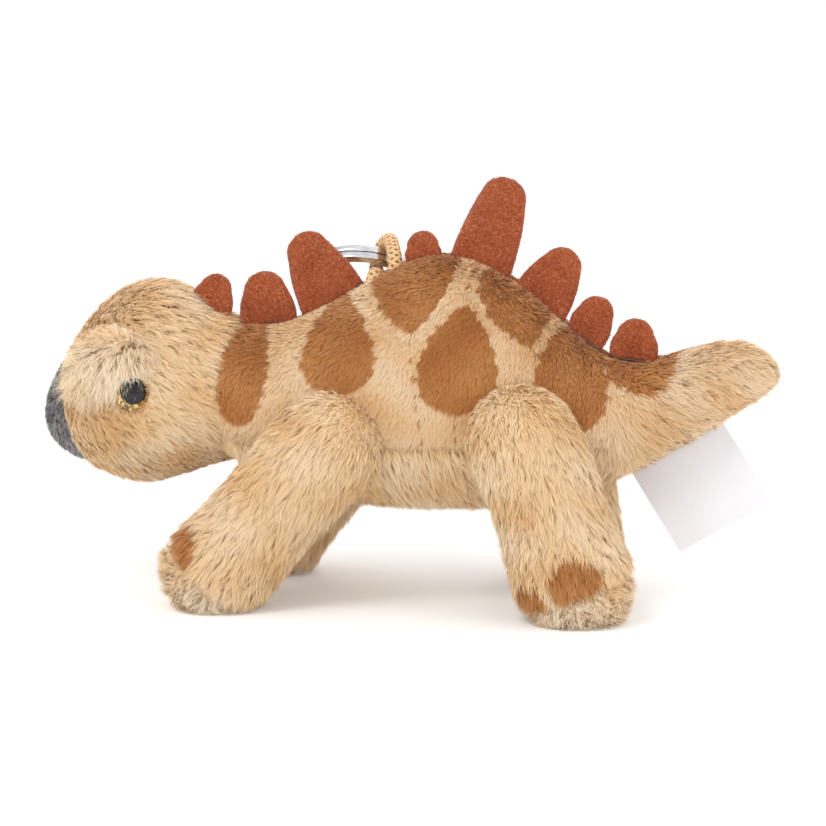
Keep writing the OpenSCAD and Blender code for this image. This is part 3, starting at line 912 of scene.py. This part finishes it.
def make_head():
    rings = oval_rings(HEAD, 9, 84)
    points, faces = sewn_skin(rings, head_seams, 8 * MM, 0.9 * MM, 0.9 * MM, (True, False))
    middle = centres(points, faces)
    muzzle = muzzle_distance(middle) > 0
    for side in (LEFT, RIGHT):
        name = SIDE_NAME[side]
        cover = skin_piece(
            f"head_cover_{name}_fabric", points, faces, ~muzzle & (middle[:, 1] * side > 0),
            "sand_backing",
        )
        blend_neck(cover)
        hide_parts(f"head_cover_{name}")
    nose = skin_piece("muzzle_fabric", points, faces, muzzle, "grey_backing")
    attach(nose, "head")
    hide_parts("muzzle_patch")

    pile = Pile(points, faces, 21)

    def cheek(p):
        front = (muzzle_distance(p) <= 0) | (p[:, 2] > 43 * MM)
        return (front & (eye_clear(p) > 3.2 * MM)).astype(float)

    def cheek_shade(roots, rng):
        x, z = roots[:, 0] / MM, roots[:, 2] / MM
        warm = 1 - smooth(np.hypot(x + 57, (z - 34) * 0.8), 2, 8)
        return plain_range(np.clip(mottle(roots, rng) - 0.55 * warm, 0, 1))

    for side in (LEFT, RIGHT):
        obj = pile.grow(
            f"head_{SIDE_NAME[side]}_pile", "sand_pile", 27, head_length, head_flow, cheek_shade,
            weight=lambda p: cheek(p) * (p[:, 1] * side > 0), rise=0.5,
        )
        blend_neck(obj)
    obj = pile.grow(
        "muzzle_pile", "grey_pile", 22, even(1.35 * MM), steady(0.7, 0, -0.5), plain_shade,
        weight=lambda p: (muzzle_distance(p) > 0).astype(float) * (p[:, 2] < 43.5 * MM), rise=0.7,
        clump=0.8 * MM, stray=0.35,
    )
    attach(obj, "head")


def brow_mound(side):
    """Rings of a long low mound, sloping up towards the back and curved to the cheek."""
    around, along = 36, 25
    bow, lowered, drawn_in = 9 * MM, 1.2 * MM, -1.6 * MM
    spin = 2 * math.pi * np.arange(around) / around
    bend = np.linspace(0.06, math.pi - 0.06, along)
    rings = np.stack([
        np.repeat(-np.cos(bend)[:, None], around, 1),
        np.sin(bend)[:, None] * np.cos(spin)[None] * side,
        np.sin(bend)[:, None] * np.sin(spin)[None] * side,
    ], 2) * (np.array(BROW_SIZE) * MM)
    off_middle = (rings[..., 0] / bow) ** 2
    rings[..., 0], rings[..., 2] = turned(rings[..., 0], rings[..., 2], BROW_SLOPE)
    rings[..., 1] += side * off_middle * drawn_in
    rings[..., 2] -= off_middle * lowered
    centre = np.array(BROW) + BROW_SHIFT
    return rings + centre * [1, side, 1] * MM


def brow_flow(roots, normals):
    """Away from a line along the tuft, forwards and a little downwards."""
    x = roots[:, 0] / MM - BROW[0]
    along = np.clip(x, -3, 4.5)
    line = np.stack([along + BROW[0], 0 * x, BROW[2] + 1.6 + 0.25 * along], 1) * MM
    return unit((roots - line) * [1, 0, 1] + np.array([-1, 0, -0.6]) * MM)


def brow_rise(roots):
    """Strands stand up along the middle of the tuft and lie flatter at its edge."""
    return 0.45 + 0.75 * (1 - smooth(np.abs(roots[:, 2] - (BROW[2] + 1) * MM), 0, 3.4 * MM))


def brow_length(roots):
    """Longest at the tuft's lower edge, where it hangs over the eye."""
    return (3.8 + 3.5 * (1 - smooth(roots[:, 2], 42.5 * MM, 46 * MM))) * MM


def make_brows():
    """A fluffy tuft of pale pile over each eye."""
    for side in (LEFT, RIGHT):
        name = SIDE_NAME[side]
        points, faces = loft(brow_mound(side))
        brow = new_object(f"brow_{name}_fabric", points, faces, MATERIALS["sand_backing"])
        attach(brow, "head")
        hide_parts(f"brow_{name}")
        obj = Pile(points, faces, 30 + side).grow(
            f"brow_{name}_pile", "pale_pile", 46, brow_length, brow_flow, plain_shade,
            weight=lambda p: (np.abs(p[:, 1]) > 9 * MM).astype(float), rise=brow_rise,
            droop=0.16, stray=0.35,
        )
        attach(obj, "head")


# ---- Legs ----

def leg_axes(leg):
    """The hip, the direction down the leg and the direction backwards across it."""
    down = np.array([-math.sin(leg["lean"]), 0, -math.cos(leg["lean"])])
    across = np.array([math.cos(leg["lean"]), 0, -math.sin(leg["lean"])])
    return np.array([leg["hip"][0], LEG_Y, leg["hip"][1]]) * MM, down, across


def leg_rings(leg, sides):
    """Rings down a right leg, a little flattened, most of all inside, and resting flat on the ground."""
    r, reach, foot = leg["r"], leg["reach"], leg["r"] * FOOT_SPREAD
    slim, inner, kept, ground = 0.93, 11.5 * MM, 0.45, 0.25 * MM
    rows = catmull([
        (-r, 0.1 * r), (-0.86 * r, 0.52 * r), (-0.5 * r, 0.87 * r), (0, r), (reach / 2, r * 0.99),
        (reach * 0.85, foot * 1.01), (reach, foot * 1.02), (reach + 0.5 * foot, 0.9 * foot),
        (reach + 0.86 * foot, 0.55 * foot), (reach + foot, 0.1 * foot),
    ], 8)
    hip, down, across = leg_axes(leg)
    angle = 2 * math.pi * np.arange(sides) / sides
    t, width = rows[:, 0, None, None] * MM, rows[:, 1, None, None] * MM
    ring = across * np.cos(angle)[None, :, None] - np.array([0, slim, 0]) * np.sin(angle)[None, :, None]
    rings = hip + down * t + ring * width
    y = rings[..., 1]
    rings[..., 1] = np.where(y < inner, inner - kept * (inner - y), y)
    rings[..., 2] = np.maximum(rings[..., 2], ground)
    return rings


def make_leg(end, side):
    leg = LEGS[end, side]
    hip, down, _ = leg_axes(leg)
    seam = (leg["reach"] + SOLE_START * leg["r"]) * MM
    mirror = np.array([1, side, 1])

    def named(part):
        return f"{end}_{part}_{SIDE_NAME[side]}"

    def beyond_seam(p):
        return (p * mirror - hip) @ down - seam

    def toes(p):
        return toe_amount(p, leg, end)

    rings = leg_rings(leg, 60)
    rings[..., 1] *= side
    if side < 0:
        rings = rings[:, ::-1]
    points, faces = sewn_skin(rings, lambda p: np.abs(beyond_seam(p)), 7 * MM, 0.8 * MM, 0.7 * MM)
    points[:, 2] = np.maximum(points[:, 2], 0.2 * MM)
    body = named("leg")
    under = beyond_seam(centres(points, faces)) > 0
    cover = skin_piece(
        named("leg_cover") + "_fabric", points, faces, ~under, "printed_backing", toes
    )
    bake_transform(cover)
    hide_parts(named("leg_cover"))
    sole = skin_piece(named("sole") + "_fabric", points, faces, under, "sand_backing")
    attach(sole, body)
    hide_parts(named("sole"))

    pile = Pile(points, faces, 40 + 7 * len(end) + side)

    def shown(p):
        """Outside the body, and above the seam of the sole."""
        outside = (np.abs(p[:, 1]) > 9.5 * MM) | (p[:, 2] < 21 * MM)
        return (outside & (beyond_seam(p) <= 0)).astype(float)

    def length(roots):
        t = (roots * mirror - hip) @ down
        full = 1.8 + 1.7 * smooth(t, -8 * MM, 4 * MM)
        return full * (0.45 + 0.55 * smooth(-beyond_seam(roots), 0, 2.2 * MM)) * MM

    def flow(roots, normals):
        return down * mirror + np.array([0, 0, -0.25]) + np.zeros((len(roots), 3))

    obj = pile.grow(
        named("leg") + "_pile", "sand_pile", 24, length, flow, spotted(toes), weight=shown
    )
    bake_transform(obj)

    def sole_length(roots):
        return (1.5 + (2.0 if end == "front" else 1.1) * smooth(beyond_seam(roots), 0, 2.2 * MM)) * MM

    def sole_flow(roots, normals):
        away = roots * mirror - hip
        away -= (away @ down)[:, None] * down
        return (unit(away) + 0.5 * down) * mirror

    obj = pile.grow(
        named("sole") + "_pile", "pale_pile", 24, sole_length, sole_flow, plain_shade,
        weight=lambda p: ((beyond_seam(p) > 0) & (p[:, 2] > 0.6 * MM)).astype(float), rise=0.75,
    )
    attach(obj, body)


# ---- Fittings ----

def make_eyes():
    """A clear domed eye: gold glitter round a black pupil set a little back and high."""
    rings, sides = 26, 56
    for side in (LEFT, RIGHT):
        out = np.array([-math.sin(EYE_TURN), side * math.cos(EYE_TURN), 0])
        back = np.array([math.cos(EYE_TURN), side * math.sin(EYE_TURN), 0])
        angle = 2 * math.pi * np.arange(sides) / sides
        spread = np.linspace(0.02, 1, rings)
        radius = EYE_R * MM * np.sin(spread * math.pi / 2)
        height = EYE_HEIGHT * MM * np.cos(spread * math.pi / 2)
        centre = np.array([EYE[0], side * EYE[1], EYE[2]]) * MM + out * 0.1 * MM
        ring = back * np.cos(angle)[None, :, None] + UP * np.sin(angle)[None, :, None] * side
        body = centre + ring * radius[:, None, None] + out * height[:, None, None]
        rim = centre + ring * (EYE_R * MM) - out * EYE_RIM * MM
        points, faces = loft(np.concatenate([body, rim]))
        eye = new_object(f"eye_{SIDE_NAME[side]}_dome", points, faces, MATERIALS["glitter"])
        eye.data.materials.append(MATERIALS["pupil"])
        aft, high, proud = PUPIL_PLACE
        pupil = centre + back * aft * MM + UP * high * MM + out * proud * MM
        for polygon in eye.data.polygons:
            middle = np.array(polygon.center)
            if np.linalg.norm(middle - pupil) < PUPIL_R * MM:
                polygon.material_index = 1
        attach(eye, "head")
        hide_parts(f"eye_{SIDE_NAME[side]}")


def plate_outline(start, end, tip, radius, bulge=0.5):
    """The upper outline of a plate from one end of its base to the other, round its tip."""
    start, end, tip = (np.array(p, float) for p in (start, end, tip))
    points = []
    for base, turn in ((start, 1), (end, -1)):
        gap = tip - base
        reach = np.linalg.norm(gap)
        heading = math.atan2(gap[1], gap[0]) + turn * math.asin(min(radius / reach, 0.95))
        length = math.sqrt(max(reach ** 2 - radius ** 2, 0.01))
        touch = base + length * np.array([math.cos(heading), math.sin(heading)])
        side = np.array([-math.sin(heading), math.cos(heading)]) * turn
        steps = np.linspace(0, 1, 9)
        line = [base + (touch - base) * s + side * bulge * math.sin(math.pi * s) for s in steps]
        points.append(line)
    first = math.atan2(*(points[0][-1] - tip)[::-1])
    last = math.atan2(*(points[1][-1] - tip)[::-1])
    while last > first:
        last -= 2 * math.pi
    arc = [tip + radius * np.array([math.cos(a), math.sin(a)]) for a in np.linspace(first, last, 15)[1:-1]]
    return np.array(points[0] + arc + points[1][::-1])


def any_way(roots, normals):
    return np.random.default_rng(5).normal(size=(len(roots), 3))


def make_plate(number):
    """A felt plate: soft round edges, a slight wave, and loose fibres along its outline."""
    start, end, tip, radius = PLATES[number]
    rng = np.random.default_rng(60 + number)
    outline = plate_outline(start, end, tip, radius)
    base = (np.array(start, float) + end) / 2 - (0, 2.0)
    rings = []
    layers = [(0.0, 0.35), (0.3, 0.8), (0.6, 0.95), (0.85, 1.0), (0.97, 0.82), (1.0, 0.45), (1.0, 0.0)]
    layers += [(s, -h) for s, h in layers[-2::-1]]
    ragged = 1 + 0.004 * rng.normal(size=len(outline))[:, None]
    for share, height in layers:
        flat = base + (outline - base) * (0.02 + 0.98 * share) * ragged
        y = PLATE_HALF * height + 0 * flat[:, 0]
        rings.append(np.stack([flat[:, 0], y, flat[:, 1]], 1))
    rings = np.array(rings)
    upper = smooth(rings[..., 2], base[1] + 3, base[1] + 14)
    wave = 0.45 * np.sin((rings[..., 0] + 3 * number) * 0.55) * upper
    tilt = rng.uniform(-0.05, 0.05) * (rings[..., 2] - base[1])
    rings[..., 1] += wave + tilt
    if number == FLOPPED_PLATE:
        z, rings[..., 1] = turned(rings[..., 2] - FLOP_BASE, rings[..., 1], FLOP)
        rings[..., 2] = FLOP_BASE + z
    points, faces = loft(rings * MM)
    obj = new_object(f"plate_{number}_felt", points, faces, MATERIALS["felt"])
    place_plate(obj, number)
    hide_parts(f"plate_{number}")
    fuzz = Pile(points, faces, 80 + number).grow(
        f"plate_{number}_fuzz", "fuzz", 9, even(0.75 * MM), any_way, plain_shade, width=0.06 * MM,
        rise=0.8, clump=0.6 * MM, gather=0.1, stray=0.6, droop=0.0, segments=1,
    )
    place_plate(fuzz, number)


def place_plate(obj, number):
    if number == min(PLATES):
        blend_neck(obj)
    elif number == max(PLATES):
        blend_tail(obj)
    else:
        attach(obj, "torso")


def ring_turned(v):
    """Turns vectors from the ring's own frame to the object's."""
    x, y, z = v[..., 0], v[..., 1], v[..., 2]
    y, z = turned(y, z, RING_SLOPE)
    z, x = turned(z, x, RING_TILT)
    return np.stack([x, y, z], -1)


def make_split_ring():
    """A real split ring: one flat wire wound twice, with its two ends lying beside the step."""
    turns, per_turn = 2.0, 110
    first_end, step, corner = 2.6, 0.12, 0.3
    count = int(turns * per_turn)
    angle = np.linspace(0, 2 * math.pi * turns, count) + first_end
    rise = (smooth(np.linspace(0, turns, count), 1 - step / 2, 1 + step / 2) - 0.5) * WIRE_PITCH
    section = []
    for cx, cy, begin in ((1, 1, 0), (-1, 1, 90), (-1, -1, 180), (1, -1, 270)):
        for a in range(0, 91, 30):
            turn = math.radians(begin + a)
            section.append((
                cx * (WIRE_W / 2 - corner) + corner * math.cos(turn),
                cy * (WIRE_T / 2 - corner) + corner * math.sin(turn),
            ))
    section = np.array(section)
    radius = (RING_D - WIRE_W) / 2 + section[None, :, 0]
    height = rise[:, None] + section[None, :, 1]
    rings = np.stack([radius * np.cos(angle)[:, None], radius * np.sin(angle)[:, None], height], 2)
    points, faces = loft((ring_turned(rings) + np.array(RING_CENTRE)) * MM)
    obj = new_object("split_ring_wire", points, faces, MATERIALS["steel"])
    obj.data.set_sharp_from_angle(angle=math.radians(50))
    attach(obj, "key_ring")
    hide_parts("split_ring")


LABEL_START = (43, 25.6)
LABEL_SLOPE = math.radians(32)
LABEL_SIZE = (19.6, 18.2)


def make_label():
    """The blank satin care label: a double layer, joined all round and a little curled."""
    across = np.array([math.cos(LABEL_SLOPE), 0, math.sin(LABEL_SLOPE)])
    down = np.array([math.sin(LABEL_SLOPE), 0, -math.cos(LABEL_SLOPE)])
    start = np.array([LABEL_START[0], 0, LABEL_START[1]])
    wide, tall = 40, 38
    sewn_in, half = 0.09, 0.14
    u = np.linspace(0, 1, wide)[None, :]
    v = np.linspace(-sewn_in, 1, tall)[:, None]
    curl = 0.9 * np.sin(v * 2.4) * (u - 0.4) + 0.35 * np.sin(u * 5 + v * 2) * v
    sheets = []
    along, fall = u * LABEL_SIZE[0], v * LABEL_SIZE[1] + 0 * u
    for offset in (-half, half):
        sheet = start + across * along[..., None] + down * fall[..., None]
        sheet[..., 1] += curl + offset * (1 - 0.75 * smooth(v, 0.97, 1.0))
        sheets.append(sheet)
    points = np.concatenate([s.reshape(-1, 3) for s in sheets]) * MM
    faces = []
    for layer in (0, 1):
        first = layer * wide * tall
        for j in range(tall - 1):
            for i in range(wide - 1):
                a = first + j * wide + i
                face = (a, a + 1, a + wide + 1, a + wide)
                faces.append(face if layer else face[::-1])
    edge = (
        list(range(wide))
        + [j * wide + wide - 1 for j in range(1, tall)]
        + [(tall - 1) * wide + i for i in range(wide - 2, -1, -1)]
        + [j * wide for j in range(tall - 2, 0, -1)]
    )
    for a, b in zip(edge, edge[1:] + edge[:1]):
        faces.append((a, b, b + wide * tall, a + wide * tall))
    label = new_object("care_label_satin", points, faces, MATERIALS["label"])
    label.data.set_sharp_from_angle(angle=math.radians(40))
    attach(label, "label")
    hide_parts("care_label")


def dress_hidden_parts():
    """Materials of the CAD parts that stay: stuffing, eye washers and the cord's anchor."""
    finishes = {"stuffing": "fibrefill", "washer": "nylon", "anchor": "thread"}
    for node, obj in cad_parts.items():
        for word, material in finishes.items():
            if word in node:
                for slot in obj.material_slots:
                    slot.material = MATERIALS[material]


# ---- Studio ----

def area_light(name, spot, aim, size, power):
    data = bpy.data.lights.new(name, "AREA")
    data.shape = "DISK"
    data.size = size
    data.energy = power
    light = bpy.data.objects.new(name, data)
    light.location = spot
    light.rotation_euler = (Vector(aim) - Vector(spot)).to_track_quat("-Z", "Y").to_euler()
    bpy.context.scene.collection.objects.link(light)


def make_studio():
    size = 6.0
    floor = new_object(
        "studio_floor", np.array([(-size, -size, 0), (size, -size, 0), (size, size, 0), (-size, size, 0)]),
        [(0, 1, 2, 3)], studio_material(),
    )
    world = bpy.data.worlds.new("studio")
    world.use_nodes = True
    background = world.node_tree.nodes["Background"]
    background.inputs["Color"].default_value = WHITE
    background.inputs["Strength"].default_value = 0.95
    bpy.context.scene.world = world
    target = (0, 0, 0.035)
    area_light("key_light", (-0.25, -0.55, 0.75), target, 0.4, 3.0)
    area_light("fill_light", (0.6, -0.35, 0.35), target, 0.5, 0.8)
    area_light("rim_light", (0.15, 0.6, 0.55), target, 0.5, 1.2)
    bpy.context.scene.view_settings.view_transform = "Standard"


add_camera()
braided_cord()
make_body()
make_head()
make_brows()
for leg_end, leg_side in LEGS:
    make_leg(leg_end, leg_side)
make_eyes()
for plate_number in PLATES:
    make_plate(plate_number)
make_split_ring()
make_label()
dress_hidden_parts()
make_studio()
